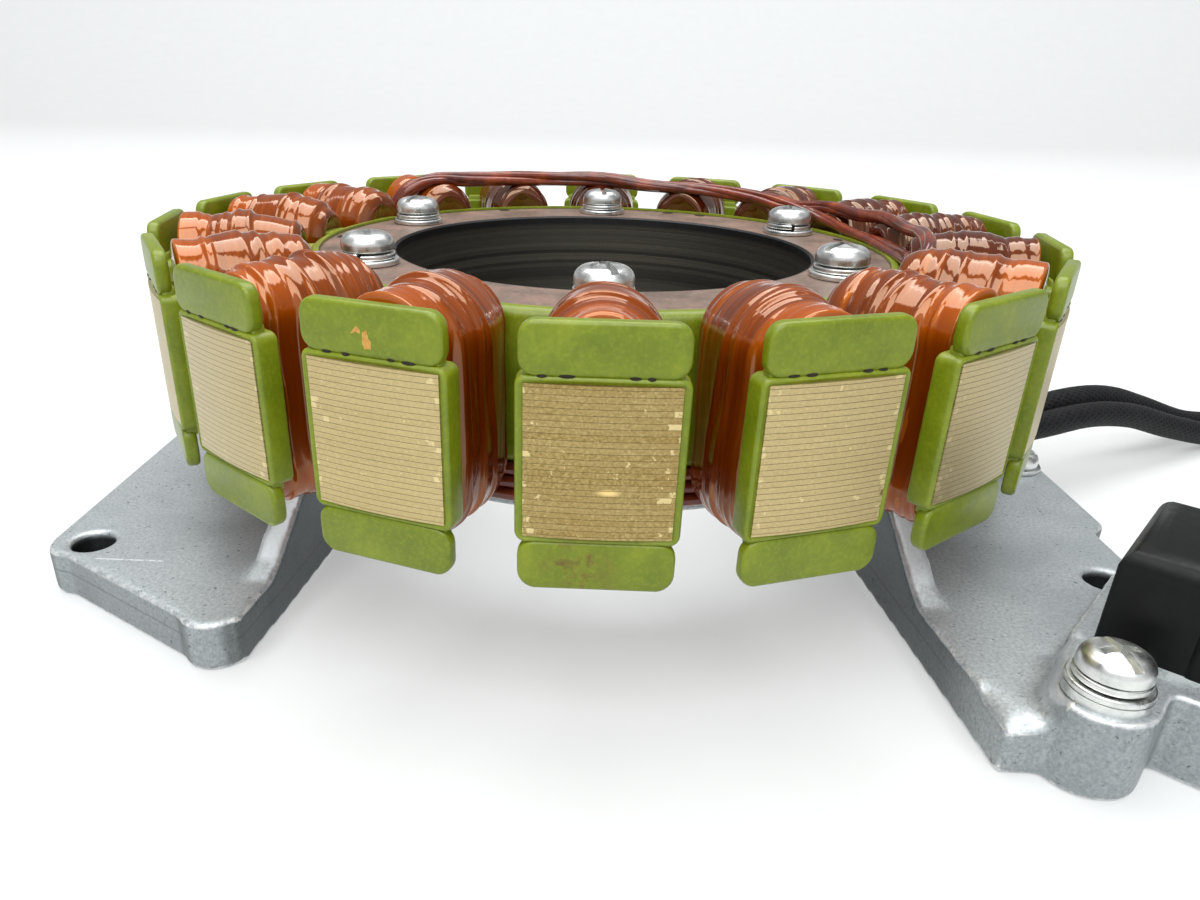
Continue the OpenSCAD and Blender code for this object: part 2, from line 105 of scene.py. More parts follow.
def new_finish(name, **uniform):
    """Starts a material for the helpers; uniform sockets are set by name, with _ for a space."""
    global tree, shader, place
    finish = bpy.data.materials.new(name)
    finish.use_nodes = True
    tree = finish.node_tree
    shader = tree.nodes["Principled BSDF"]
    place = add("TexCoord").outputs["Object"]
    for key, value in uniform.items():
        shader.inputs[key.replace("_", " ")].default_value = value
    print("finish", name)
    return finish


def feed(socket, value):
    """Wires a value into one of the shader's sockets."""
    tree.links.new(value, shader.inputs[socket])


def add(kind, inputs=None, **settings):
    made = tree.nodes.new("ShaderNode" + kind)
    for key, value in settings.items():
        setattr(made, key, value)
    for key, value in (inputs or {}).items():
        if isinstance(value, bpy.types.NodeSocket):
            tree.links.new(value, made.inputs[key])
        else:
            made.inputs[key].default_value = value
    return made


def stretched(vector, factors):
    return add("VectorMath", {0: vector, 1: factors}, operation="MULTIPLY").outputs[0]


def parts_of(vector):
    """The x, y and z of a vector."""
    return add("SeparateXYZ", {0: vector}).outputs


def in_mm(vector):
    """The x, y and z of a place, in millimetres."""
    return parts_of(stretched(vector, (1 / mm, 1 / mm, 1 / mm)))


def calc(operation, *values):
    return add("Math", dict(enumerate(values)), operation=operation).outputs[0]


def times(first, second):
    return calc("MULTIPLY", first, second)


def scaled(value, gain, base):
    return calc("MULTIPLY_ADD", value, gain, base)


def unsigned(value):
    return calc("ABSOLUTE", value)


def from_zero(x, y):
    """The length of the line from 0, 0 to x, y."""
    return calc("SQRT", calc("ADD", times(x, x), times(y, y)))


def step(value, low, high):
    """0 below low, 1 above high and smooth between."""
    return add("MapRange", {0: value, 1: low, 2: high}, interpolation_type="SMOOTHSTEP").outputs[0]


def near(place, point, reach):
    """1 at a point, given in millimetres, falling to 0 at the reach."""
    away = add("VectorMath", {0: place, 1: tuple(c * mm for c in point)}, operation="DISTANCE").outputs["Value"]
    return step(away, reach * mm, 0.2 * reach * mm)


# %% Patterns, colours and bumps


def grain(scale, detail=3.0, roughness=0.6, at=None):
    """Cloudy noise; a larger scale makes finer grains."""
    inputs = {"Vector": place if at is None else at, "Scale": scale, "Detail": detail, "Roughness": roughness}
    return add("TexNoise", inputs).outputs[0]


def ramp(share, stops):
    """A colour ramp of screen colours, or of shader colours where they have four numbers."""
    made = add("ValToRGB", {0: share})
    band = made.color_ramp
    while len(band.elements) < len(stops):
        band.elements.new(0.5)
    for element, (position, colour) in zip(band.elements, stops):
        element.position = position
        element.color = srgb(*colour) if len(colour) == 3 else colour
    return made.outputs[0]


def mixed(share, first, second, blend="MIX"):
    return add("Mix", {0: share, 6: first, 7: second}, data_type="RGBA", blend_type=blend).outputs[2]


def tinted(base, where, strength, colour):
    """A screen colour laid over another colour where a mask is 1."""
    return mixed(times(where, strength), base, srgb(*colour))


def bumped(height, strength, depth, under=None):
    """A bump with its depth in millimetres."""
    inputs = {"Strength": strength, "Distance": depth * mm, "Height": height}
    if under is not None:
        inputs["Normal"] = under
    return add("Bump", inputs).outputs[0]


# %% [markdown]
# ## Helpers for pieces
# Pieces start as a bmesh, are shaped by its operators, and become an object at the origin with
# the place in the mesh. Each one rides on the model's single body.

# %% Piece helpers
ops = bmesh.ops
Vert, Edge = bmesh.types.BMVert, bmesh.types.BMEdge


def of_kind(geometry, kind):
    return [g for g in geometry if isinstance(g, kind)]


def enlist(piece, stands_for):
    """Puts a piece on the body and hides the CAD nodes that it stands for."""
    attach(piece, "root")
    if stands_for:
        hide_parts(*stands_for)


def keep(shape, name, finish, stands_for=(), smooth_below=40):
    """Turns a bmesh into a finished piece."""
    ops.recalc_face_normals(shape, faces=shape.faces)
    mesh = bpy.data.meshes.new(name)
    shape.to_mesh(mesh)
    shape.free()
    mesh.shade_smooth()
    mesh.set_sharp_from_angle(angle=math.radians(smooth_below))
    mesh.materials.append(finish)
    piece = placed(name, mesh)
    enlist(piece, stands_for)
    print(name, len(mesh.polygons), "faces")
    return piece


def dress(node, finish):
    """Gives a CAD node that keeps its shape its finish."""
    nodes[node].data.materials.clear()
    nodes[node].data.materials.append(finish)


def block(shape, size, centre):
    """Adds a cuboid and returns its vertices; sizes and centre in millimetres."""
    made = ops.create_cube(shape, size=1)["verts"]
    ops.scale(shape, verts=made, vec=[s * mm for s in size])
    ops.translate(shape, verts=made, vec=[c * mm for c in centre])
    return made


def edges_of(verts, wanted=lambda edge: True):
    return [e for e in {e for v in verts for e in v.link_edges} if wanted(e)]


def along(axis):
    """A test for edges that run along an axis, 1 for Y or 2 for Z."""
    return lambda edge: abs((edge.verts[1].co - edge.verts[0].co).normalized()[axis]) > 0.99


def rounded(shape, edges, radius, segments=3):
    """Bevels edges to a round of a radius in millimetres and returns the new vertices."""
    return ops.bevel(shape, geom=edges, offset=radius * mm, offset_type="OFFSET", affect="EDGES",
                     segments=segments, profile=0.5, material=-1, clamp_overlap=True)["verts"]


def lathe(shape, profile, steps, closed=False):
    """Spins a line of (radius, height) points, in millimetres, about the Z axis."""
    verts = [shape.verts.new((r * mm, 0, z * mm)) for r, z in profile]
    pairs = list(zip(verts, verts[1:])) + ([(verts[-1], verts[0])] if closed else [])
    edges = [shape.edges.new(pair) for pair in pairs]
    ops.spin(shape, geom=verts + edges, cent=(0, 0, 0), axis=(0, 0, 1), angle=math.tau,
             steps=steps, use_merge=True, use_duplicate=False)


def applied(shape, kind, **settings):
    """A bmesh as it is after one modifier."""
    mesh = bpy.data.meshes.new("in_work")
    shape.to_mesh(mesh)
    shape.free()
    holder = placed("in_work", mesh)
    change = holder.modifiers.new("change", kind)
    for key, value in settings.items():
        setattr(change, key, value)
    bpy.context.view_layer.update()
    result = bmesh.new()
    result.from_object(holder, bpy.context.evaluated_depsgraph_get())
    bpy.data.objects.remove(holder)
    return result


def moved(x, y, z):
    """A shift, given in millimetres."""
    return Matrix.Translation(Vector((x, y, z)) * mm)


def at_tooth(number):
    """The turn that carries a shape from in front of the axis to a tooth."""
    return Matrix.Rotation((number - 1) * pitch, 4, "Z")


# %% [markdown]
# ## Floor and light
# The photo is high-key: pale paper with a low sweep behind the part, a soft box high up behind it
# and a broad fill from the front. Even the floor under the core is nearly white, so the paper also
# glows a little, as a sheet on a light table does. The tops of the varnished coils mirror the soft
# box as pale shapes, while their sides face a dim room and stay deep. The paper's far end has a
# lamp of its own.

# %% Paper sweep
sweep_r, sweep_y, sweep_turn, paper_half, paper_drop = 1.0, 1.5, 54, 4, 0.05 * mm
sweep_line = [(-paper_half, 0), (sweep_y, 0)]
for i in range(1, 13):
    angle = math.radians(sweep_turn * i / 12)
    sweep_line.append((sweep_y + sweep_r * math.sin(angle), sweep_r - sweep_r * math.cos(angle)))
sweep_mesh = bmesh.new()
line = [sweep_mesh.verts.new((-paper_half, y, floor_z - paper_drop + z)) for y, z in sweep_line]
edges = [sweep_mesh.edges.new(pair) for pair in zip(line, line[1:])]
drawn = ops.extrude_edge_only(sweep_mesh, edges=edges)["geom"]
ops.translate(sweep_mesh, verts=of_kind(drawn, Vert), vec=(2 * paper_half, 0, 0))
sweep_data = bpy.data.meshes.new("paper_sweep")
sweep_mesh.to_mesh(sweep_data)
sweep_mesh.free()
sweep_data.shade_smooth()
sweep = placed("paper_sweep", sweep_data)
paper = new_finish("studio_paper", Roughness=0.75, Specular_IOR_Level=0.2,
                   Emission_Color=(0.985, 1.0, 0.99, 1), Emission_Strength=0.36)
fibres = grain(40, 3)
feed("Base Color", ramp(fibres, [(0.3, (0.415, 0.425, 0.425, 1)), (0.7, (0.43, 0.44, 0.44, 1))]))
sweep_data.materials.append(paper)
print("paper sweep of", len(sweep_data.polygons), "faces")

# %% Lamps and world
world = bpy.data.worlds.new("studio")
world.use_nodes = True
tree = world.node_tree
shader = tree.nodes["Background"]
_, to_rear, upward = parts_of(add("TexCoord").outputs["Generated"])
in_front = times(step(to_rear, -0.15, -0.7), step(upward, 0.95, 0.6))
shader.inputs["Color"].default_value = (0.97, 0.985, 1.0, 1)
feed("Strength", scaled(in_front, 0.6, 0.33))
bpy.context.scene.world = world
bpy.context.scene.view_settings.view_transform = "Standard"


def area_lamp(name, place, target, size, power):
    data = bpy.data.lights.new(name, "AREA")
    data.shape, data.size, data.size_y, data.energy = "RECTANGLE", size[0], size[1], power
    lamp = placed(name, data)
    lamp.location = place
    lamp.rotation_euler = (Vector(target) - Vector(place)).to_track_quat("-Z", "Y").to_euler()


area_lamp("soft_box", (-0.05, 0.25, 1.05), (0, -0.03, 0), (1.2, 0.75), 13)
area_lamp("paper_wash", (0, 0.7, 1.3), (0, 2.1, 0.3), (4.0, 0.7), 32)
area_lamp("front_fill", (-0.1, -0.8, 1.15), (0, -0.15, 0), (1.5, 0.9), 19)
print("a soft box, a wash for the paper and a fill in front")

# %% [markdown]
# ## Leads
# Two wires leave the base through its right wall in braided sleeves and lie down on the floor
# beside the part. The routes are the CAD model's own points. A ring of vertices is extruded from
# point to point along a smooth curve, and a UV map that runs along and around the tube lets the
# braid follow every bend.

# %% Lead routes
lead_d = 7
turn_centre, turn_r, lead_side, plug_y = (219, 26), 35, 3.6, 14
upper_points = [(56.6, -10, 20.8), (66, -10, 20.8), (76, -8.8, 20.6), (88, -5, 20), (102, 0.5, 19.5),
                (118, 8.5, 19.4), (136, 19, 19.2), (153, 28.4, 16.2), (170, 37, 10.4), (187, 45.2, 5.4),
                (196, 49.7, 4)]
lower_points = [(56.6, -4, 13.6), (66, -4, 13.6), (76, -2.2, 14), (88, 2.4, 15.2), (102, 9.6, 17.4),
                (118, 18.5, 19.6), (134, 28, 20.4), (150, 37.5, 18.4), (166, 46, 13), (182, 52.9, 7),
                (193, 57.3, 4.6)]


def lead_route(points, radius, first_angle):
    """The CAD route in metres: its points, the flat bend on the floor and the connector's end."""
    x, y = turn_centre
    bend = []
    for i in range(9):
        angle = math.radians(first_angle * (1 - i / 8))
        bend.append((x + radius * math.cos(angle), y + radius * math.sin(angle), lead_side))
    end = [(x + radius, plug_y, lead_side)]
    return [Vector((x * mm, y * mm, z * mm + floor_z)) for x, y, z in points + bend + end]


def smooth_route(points, steps=4):
    """A curve through every point, by Catmull and Rom's rule."""
    padded = [2 * points[0] - points[1]] + points + [2 * points[-1] - points[-2]]
    curve = []
    for a, b, c, d in zip(padded, padded[1:], padded[2:], padded[3:]):
        for i in range(steps):
            t = i / steps
            curve.append(0.5 * (2 * b + (c - a) * t + (2 * a - 5 * b + 4 * c - d) * t * t
                                + (3 * b - a - 3 * c + d) * t ** 3))
    curve.append(points[-1])
    lowest = floor_z + lead_d / 2 * mm
    return [Vector((p.x, p.y, max(p.z, lowest))) for p in curve]


def route_length(route):
    return sum((b - a).length for a, b in zip(route, route[1:]))


upper_route = smooth_route(lead_route(upper_points, turn_r - lead_side, 118))
lower_route = smooth_route(lead_route(lower_points, turn_r + lead_side, 114))
print("leads of", [round(route_length(route), 4) for route in (upper_route, lower_route)], "m")

# %% Braid finish
braid = new_finish("black_braid", Roughness=0.6, Specular_IOR_Level=0.15)
around, lengthwise, _ = parts_of(add("UVMap", uv_map="along_lead").outputs[0])
around_turns = times(around, 14)
along_turns = times(lengthwise, 340)
one_way = calc("SINE", times(calc("ADD", along_turns, around_turns), math.tau))
other_way = calc("SINE", times(calc("SUBTRACT", along_turns, around_turns), math.tau))
strands = scaled(calc("MAXIMUM", one_way, other_way), 0.5, 0.5)
worn = grain(260, 4)
feed("Base Color", tinted(srgb(5, 5, 6), strands, worn, (38, 38, 40)))
feed("Normal", bumped(strands, 0.6, 0.25))

# %% Lead tubes


def route_turn(route, i):
    """A lead's side, top and heading at one point of its route."""
    heading = route[min(i + 1, len(route) - 1)] - route[max(i - 1, 0)]
    side = heading.cross(Vector((0, 0, 1))).normalized()
    return side, side.cross(heading).normalized(), heading.normalized()


def lead_tube(route, name, node, sides=20):
    """A ring of points that is drawn along a route, with a cap at each end."""
    shape = bmesh.new()
    ring = ops.create_circle(shape, cap_ends=True, radius=lead_d / 2 * mm, segments=sides)["verts"]
    before = Matrix.Identity(4)
    edges = edges_of(ring)
    for i, point in enumerate(route):
        now = Matrix(route_turn(route, i)).transposed().to_4x4()
        now.translation = point
        if i:
            made = ops.extrude_edge_only(shape, edges=edges)["geom"]
            ring, edges = of_kind(made, Vert), of_kind(made, Edge)
        ops.transform(shape, matrix=now @ before.inverted(), verts=ring)
        before = now
    ops.contextual_create(shape, geom=edges)
    tube = keep(shape, name, braid, [node], smooth_below=60)
    give_lead_uv(tube.data, route)
    return tube


def give_lead_uv(mesh, route):
    """U runs once around the tube, and V along it in metres."""
    stations = [0.0]
    for a, b in zip(route, route[1:]):
        stations.append(stations[-1] + (b - a).length)
    layer = mesh.uv_layers.new(name="along_lead")
    places = []
    for vertex in mesh.vertices:
        i = min(range(len(route)), key=lambda k: (route[k] - vertex.co).length_squared)
        side, rise, _ = route_turn(route, i)
        out = vertex.co - route[i]
        places.append((math.atan2(out.dot(rise), out.dot(side)) / math.tau % 1, stations[i]))
    for face in mesh.polygons:
        turns = [places[mesh.loops[k].vertex_index][0] for k in face.loop_indices]
        for k, share in zip(face.loop_indices, turns):
            wrap = 1 if share < 0.25 and max(turns) > 0.75 else 0
            layer.data[k].uv = (share + wrap, places[mesh.loops[k].vertex_index][1])


lead_upper = lead_tube(upper_route, "lead_upper_sleeve", "lead_upper")
lead_lower = lead_tube(lower_route, "lead_lower_sleeve", "lead_lower")

# %% [markdown]
# ## Cast base
# The base is one aluminium casting, and no edge on a casting is sharp. A copy of the CAD node is
# rebuilt from small voxels and its points are eased towards their neighbours, which rounds outer
# edges and fills inner corners at once. The drilled holes are eased less, and the foot of the boss
# much more, because the photo shows it flowing into the plate. The blasted grey skin is brightest
# where edges have rubbed, found by how sharply the surface bends. A painted highlight lightens the
# steep tops of the webs, and painted shade darkens the walls and the inside of the mounting holes.

# %% Cast aluminium skin
hole_x, hole_y = 105.2, 56.4
plate_z, parting_z = -40, -44.2
cast_skin = new_finish("cast_aluminium", Metallic=0.6, Specular_IOR_Level=0.5)
at_x, at_y, at_z = in_mm(place)
blasted = grain(1500, 5, 0.7)
cloudy = grain(38, 5, 0.6)
grey = ramp(blasted, [(0.32, (150, 156, 158)), (0.68, (198, 204, 206))])
grey = tinted(grey, step(cloudy, 0.4, 0.7), 0.5, (142, 149, 152))
pitted = calc("MAXIMUM", step(grain(780, 2), 0.34, 0.27), step(grain(1500, 3), 0.3, 0.24))
grey = tinted(grey, pitted, 0.7, (84, 88, 90))

# %% Scratches, with the long one on the left wing
score_x, score_y = -94, -63.9
scratch_place = add("Mapping", {0: place, 2: (0, 0, 0.1), 3: (40, 2400, 40)}).outputs[0]
scratched = times(step(grain(1.0, 2, at=scratch_place), 0.7, 0.76), step(grain(60), 0.5, 0.62))
grey = tinted(grey, scratched, 0.5, (220, 223, 224))
from_score = unsigned(calc("SUBTRACT", at_y, scaled(cloudy, 0.6, score_y)))
along_score = unsigned(calc("SUBTRACT", at_x, score_x))
scored = times(step(from_score, 0.32, 0.14), step(along_score, 7.4, 6.4))
scored = times(scored, step(grain(900, 3), 0.36, 0.5))
grey = tinted(grey, scored, 0.9, (232, 235, 236))
print("cast finish so far", len(tree.nodes), "nodes")

# %% Webs, walls, holes and rubbed edges
shape_of = add("NewGeometry")
to_right, _, uphill = parts_of(shape_of.outputs["Normal"])
# Painted highlight: faces that slope upwards above the plate, the tops of the webs among them, are painted
# lighter.
sloped_top_highlight = times(step(uphill, 0.3, 0.45), step(uphill, 0.93, 0.85))
sloped_top_highlight = times(sloped_top_highlight, step(at_z, plate_z + 1, plate_z + 3))
grey = tinted(grey, sloped_top_highlight, 0.5, (214, 217, 221))
# Painted shade: walls are darkened by a multiply, and walls that face sideways, behind the front edge, most of
# all.
on_wall = step(unsigned(uphill), 0.4, 0.2)
sideways = times(step(unsigned(to_right), 0.4, 0.75), step(at_y, -101, -80))
wall_shade = times(on_wall, scaled(sideways, 0.54, 0.32))
grey = mixed(wall_shade, grey, (0.12, 0.13, 0.13, 1), "MULTIPLY")
from_line = unsigned(calc("SUBTRACT", at_z, parting_z))
parting = times(times(step(from_line, 0.3, 0.1), on_wall), step(at_y, -88, -80))
grey = tinted(grey, parting, 0.4, (52, 55, 56))
from_hole = from_zero(calc("SUBTRACT", unsigned(at_x), hole_x), calc("ADD", at_y, hole_y))
hole_shade = times(step(from_hole, 5.0, 4.5), step(at_z, plate_z - 0.4, plate_z - 2))
# Painted shade: the inside of each mounting hole is painted nearly black.
grey = tinted(grey, hole_shade, 0.9, (22, 23, 24))
rubbed = times(step(shape_of.outputs["Pointiness"], 0.52, 0.54), step(grain(620, 5, 0.75), 0.45, 0.56))
grey = tinted(grey, rubbed, 0.9, (226, 226, 224))
feed("Base Color", grey)
feed("Roughness", scaled(blasted, 0.22, 0.33))
feed("Normal", bumped(cloudy, 0.12, 0.8, bumped(blasted, 0.3, 0.09)))
print("cast finish of", len(tree.nodes), "nodes")

# %% Cast base
voxel, hole_rim = 0.6, 6
boss_axis, boss_reach = Vector((80.58, -101.64)) * mm, 17 * mm
inward, foot_start, foot_low, foot_high = Vector((-0.6, 0.8)), 2 * mm, -41.2 * mm, -34.6 * mm
shape = bmesh.new()
shape.from_mesh(nodes["mounting_base"].data)
ops.remove_doubles(shape, verts=shape.verts, dist=0.002 * mm)
shape = applied(shape, "REMESH", mode="VOXEL", voxel_size=voxel * mm)
print("casting rebuilt with", len(shape.faces), "faces")


def eased(shape, verts, rounds):
    """Moves points half way to the middle of their neighbours, some times over."""
    for _ in range(rounds):
        ops.smooth_vert(shape, verts=verts, factor=0.5, use_axis_x=True, use_axis_y=True, use_axis_z=True)


def by_hole(v):
    """Whether a point lies on the rim of one of the two mounting holes."""
    return math.hypot(abs(v.co.x) / mm - hole_x, v.co.y / mm + hole_y) < hole_rim


eased(shape, shape.verts[:], 2)
eased(shape, [v for v in shape.verts if not by_hole(v)], 5)
boss_foot = [v for v in shape.verts if (v.co.xy - boss_axis).length < boss_reach
             and (v.co.xy - boss_axis).dot(inward) > foot_start and foot_low < v.co.z < foot_high]
eased(shape, boss_foot, 60)
shape = applied(shape, "DECIMATE", ratio=0.4)
keep(shape, "cast_base", cast_skin, ["mounting_base"], smooth_below=80)

# %% [markdown]
# ## Laminated core
# The core is a stack of thin steel sheets. Its CAD node is already right, so it only needs a
# finish: dark joint lines one sheet apart, a tone of its own for each sheet, bright flecks where
# the varnish has rubbed off, most of them near the sides of each tooth, and a dark bore. The teeth
# away from the front get a painted reflection that makes them lighter. The node's height gives the
# sheet and its angle gives the place across a tooth.

# %% Core sheets
sheet_t = 0.96
core_steel = new_finish("core_steel", Metallic=0.75)
at_x, at_y, at_z = in_mm(place)
bearing = calc("ARCTAN2", at_x, times(at_y, -1))
off_middle = unsigned(bearing)
across = unsigned(calc("WRAP", bearing, pitch / 2, -pitch / 2))
sheet = calc("ADD", calc("DIVIDE", at_z, sheet_t), times(grain(90, 2), 0.08))
joint_line = step(unsigned(calc("SUBTRACT", calc("FRACT", sheet), 0.5)), 0.445, 0.485)
sheet_number = calc("FLOOR", sheet)
sheet_tone = add("TexWhiteNoise", {"W": sheet_number}, noise_dimensions="1D").outputs["Value"]
mottled = grain(1900, 4, 0.7, stretched(place, (1, 1, 1.4)))
gold = ramp(mottled, [(0.3, (126, 105, 56)), (0.5, (158, 136, 82)), (0.7, (190, 170, 116))])
gold = tinted(gold, step(grain(75, 4), 0.4, 0.75), 0.35, (146, 116, 58))
gold = tinted(gold, sheet_tone, 0.16, (206, 186, 136))

# %% Rubbed and rusty places, and a painted reflection on the side teeth
by_side = step(across, math.asin(0.07), math.asin(0.112))
bar_place = add("CombineXYZ", {0: times(bearing, 40), 1: times(sheet_number, 3.71),
                               2: times(mottled, 0.5)}).outputs[0]
bar_limit = scaled(by_side, -0.15, 0.74)
ragged = scaled(grain(1700, 2), 0.3, -0.15)
barred = step(calc("SUBTRACT", calc("ADD", grain(1.0, 1, at=bar_place), ragged), bar_limit), 0.0, 0.06)
flecked = step(grain(1250, 2), 0.7, 0.75)
gold = tinted(gold, calc("MAXIMUM", barred, flecked), 0.62, (240, 220, 164))
# Painted reflection: every tooth but the front one is painted lighter, and teeth far round the core lighter and
# greyer still.
gold = tinted(gold, step(off_middle, 0.16, 0.2), 0.42, (222, 206, 158))
gold = tinted(gold, step(off_middle, 0.45, 0.85), 0.45, (196, 191, 170))
rusty = times(step(grain(330, 4, 0.7), 0.63, 0.7), step(across, math.asin(0.1), math.asin(0.112)))
gold = tinted(gold, rusty, 0.85, (84, 50, 30))
one_fleck = near(stretched(place, (1, 1, 3.2)), (1.4, -100, -13.4), 2.4)
gold = tinted(gold, one_fleck, 0.9, (240, 212, 142))
gold = tinted(gold, joint_line, 0.88, (66, 52, 30))
print("core finish so far", len(tree.nodes), "nodes")

# %% Bore and surface of the core
in_bore = step(from_zero(at_x, at_y), 51, 49.5)
bore_tone = ramp(sheet_tone, [(0.0, (50, 47, 41)), (1.0, (82, 78, 69))])
bore_tone = tinted(bore_tone, joint_line, 0.8, (26, 25, 22))
feed("Base Color", mixed(in_bore, gold, bore_tone))
feed("Roughness", scaled(mottled, 0.35, 0.28))
feed("Normal", bumped(calc("SUBTRACT", times(mottled, 0.35), joint_line), 0.4, 0.1))
dress("lamination_stack", core_steel)
print("core finish of", len(tree.nodes), "nodes")

# %% [markdown]
# ## Green insulating coat
# The core is dipped in epoxy powder that melts to a satin green skin. It hides the edges of the
# steel, so every coated shape is rounded. The coat covers the yoke's wall, frames each tooth face
# and runs over the bent tips of both end plates. Stains and two chips sit where the photo has them.

# %% Green coat finish
green_coat = new_finish("green_coat", Specular_IOR_Level=0.35, Coat_Weight=0.2, Coat_Roughness=0.25)
speckle = grain(1300, 3, 0.6)
clouds = grain(130, 5, 0.6)
green = ramp(clouds, [(0.3, (92, 108, 5)), (0.52, (105, 120, 8)), (0.75, (121, 134, 17))])
green = tinted(green, step(speckle, 0.45, 0.72), 0.22, (148, 157, 42))
green = tinted(green, step(speckle, 0.42, 0.3), 0.3, (88, 105, 13))
stain = times(near(place, (-3.2, -99.5, -17), 8), step(grain(520, 5, 0.75), 0.42, 0.68))
green = tinted(green, stain, 0.8, (92, 62, 20))
_, _, at_z = in_mm(place)
low_dirt = times(step(at_z, -12, -20), step(grain(170, 5, 0.7), 0.48, 0.75))
green = tinted(green, low_dirt, 0.4, (104, 92, 34))
# Painted highlight: convex edges of the coat are painted lighter.
rim = step(add("NewGeometry").outputs["Pointiness"], 0.53, 0.62)
green = tinted(green, rim, 0.45, (170, 181, 80))
feed("Base Color", green)
feed("Roughness", scaled(clouds, 0.2, 0.3))
feed("Normal", bumped(clouds, 0.1, 1.0, bumped(speckle, 0.12, 0.15)))

# %% Coat on the yoke, in the slots and round the tooth faces
face_r, plate_top = 100, 14
coat_r, coat_top, rim_r, coat_round = 68.1, 14.6, 65.6, 2
frame_size, frame_y, frame_sunk = (25, 4.3, 26.2), -97.95, 0.4
lining_size, lining_x, arm_y = (0.6, 27.8, 24), 5.3, -82


def round_about_axis(shape):
    """Copies a tooth's shape to the other seventeen teeth."""
    ops.spin(shape, geom=shape.verts[:] + shape.edges[:] + shape.faces[:], cent=(0, 0, 0), axis=(0, 0, 1),
             angle=pitch * (teeth - 1), steps=teeth - 1, use_duplicate=True)


def outlines(shape):
    """The edges round a shape's front and back."""
    return list({e for f in shape.faces if abs(f.normal.y) > 0.99 for e in f.edges})


def follow_face(verts):
    """Bends a flat shape in front of the axis to the radius of the tooth faces."""
    for v in verts:
        v.co.y += (face_r - math.sqrt(face_r ** 2 - (v.co.x / mm) ** 2)) * mm


def tooth_frame(shape):
    """The coat's frame round a tooth face: a rounded block whose front is inset and sunk."""
    block(shape, frame_size, (0, frame_y, 0))
    rounded(shape, edges_of(shape.verts, along(1)), 1.6, 5)
    shape.normal_update()
    rounded(shape, outlines(shape), 0.6, 3)
    shape.normal_update()
    front = [f for f in shape.faces if f.normal.y < -0.99]
    ops.inset_region(shape, faces=front, thickness=0.62 * mm, depth=0, use_even_offset=True)
    ops.translate(shape, verts=list({v for f in front for v in f.verts}), vec=(0, frame_sunk * mm, 0))
    follow_face(shape.verts)


shape = bmesh.new()
tooth_frame(shape)
for side in (-1, 1):
    block(shape, lining_size, (side * lining_x, arm_y, 0))
round_about_axis(shape)
yoke_wall = [(rim_r, plate_top), (rim_r, coat_top)]
for i in range(7):
    angle = math.radians(90 - 15 * i)
    in_x, in_z = coat_round * (1 - math.cos(angle)), coat_round * (1 - math.sin(angle))
    yoke_wall.append((coat_r - in_x, coat_top - in_z))
yoke_wall += [(r, -z) for r, z in reversed(yoke_wall)]
lathe(shape, yoke_wall, 144)
keep(shape, "green_coat", green_coat, ["insulating_coat"])

# %% [markdown]
# ## End plates
# A plate on either side of the stack carries the coils' weight: its tips are bent away from the
# teeth and hold the turns in place. A tip is a block whose corners are bevelled first and whose
# outline is bevelled after, which gives the pillowed look of dipped metal. A shallow valley joins
# it to the tooth's frame. The flat ring in the middle was masked, so its bare steel shows.

# %% Ring finish
bare_ring = new_finish("masked_steel", Metallic=0.3, Specular_IOR_Level=0.5)
at_x, at_y, _ = in_mm(place)
out_r = from_zero(at_x, at_y)
tarnish = grain(90, 6, 0.7)
fine = grain(1100, 3, 0.6)
brown = ramp(tarnish, [(0.3, (92, 76, 66)), (0.5, (122, 102, 90)), (0.72, (150, 118, 104))])
brown = tinted(brown, step(fine, 0.5, 0.75), 0.35, (172, 152, 138))
brown = tinted(brown, step(fine, 0.4, 0.28), 0.4, (70, 56, 48))
# Painted shade: the ring's inner edge, where it drops into the bore, is painted nearly black.
feed("Base Color", mixed(step(out_r, 49.4, 48.9), brown, srgb(12, 12, 13)))
feed("Roughness", scaled(tarnish, 0.3, 0.3))
feed("Normal", bumped(fine, 0.12, 0.1))

# %% Ring and tips
tip_w, tip_low, tip_high, tip_front, tip_t = 24.2, 12.9, 20.9, 99.5, 2.6
valley_size, valley_place = (22.4, 2.4, 2.6), (0, -97.6, 13.1)
neck_size, neck_place = (8.6, 31, 2), (0, arm_y, 13)
ring_section = [(48.5, 12), (67.4, 12), (67.4, 13.9), (48.9, 14), (48.5, 13.6)]


def bent_tip(shape, bow):
    """One tip in front of the axis, bowed at its free edge, its valley and the neck that carries it."""
    centre = (0, -tip_front + tip_t / 2, (tip_high + tip_low) / 2)
    tip = block(shape, (tip_w, tip_t, tip_high - tip_low), centre)
    rounded(shape, edges_of(tip, along(1)), 2.6, 6)
    shape.normal_update()
    rounded(shape, outlines(shape), 0.8, 4)
    for v in shape.verts:
        rise = min(1, max(0, (v.co.z / mm - tip_low) / (tip_high - tip_low)))
        v.co.z += bow * rise * (1 - (2 * v.co.x / mm / tip_w) ** 2) * mm
    valley = block(shape, valley_size, valley_place)
    rounded(shape, edges_of(valley), 0.5, 2)
    block(shape, neck_size, neck_place)


def end_plate(name, node, side):
    shape = bmesh.new()
    bent_tip(shape, 0.15 if side > 0 else 0.9)
    round_about_axis(shape)
    if side < 0:
        ops.scale(shape, verts=shape.verts, vec=(1, 1, -1))
    keep(shape, name + "_tips", green_coat, [node])
    shape = bmesh.new()
    lathe(shape, [(r, side * z) for r, z in ring_section], 180, closed=True)
    keep(shape, name + "_ring", bare_ring, [node])


end_plate("top_plate", "top_end_plate", 1)
end_plate("bottom_plate", "bottom_end_plate", -1)

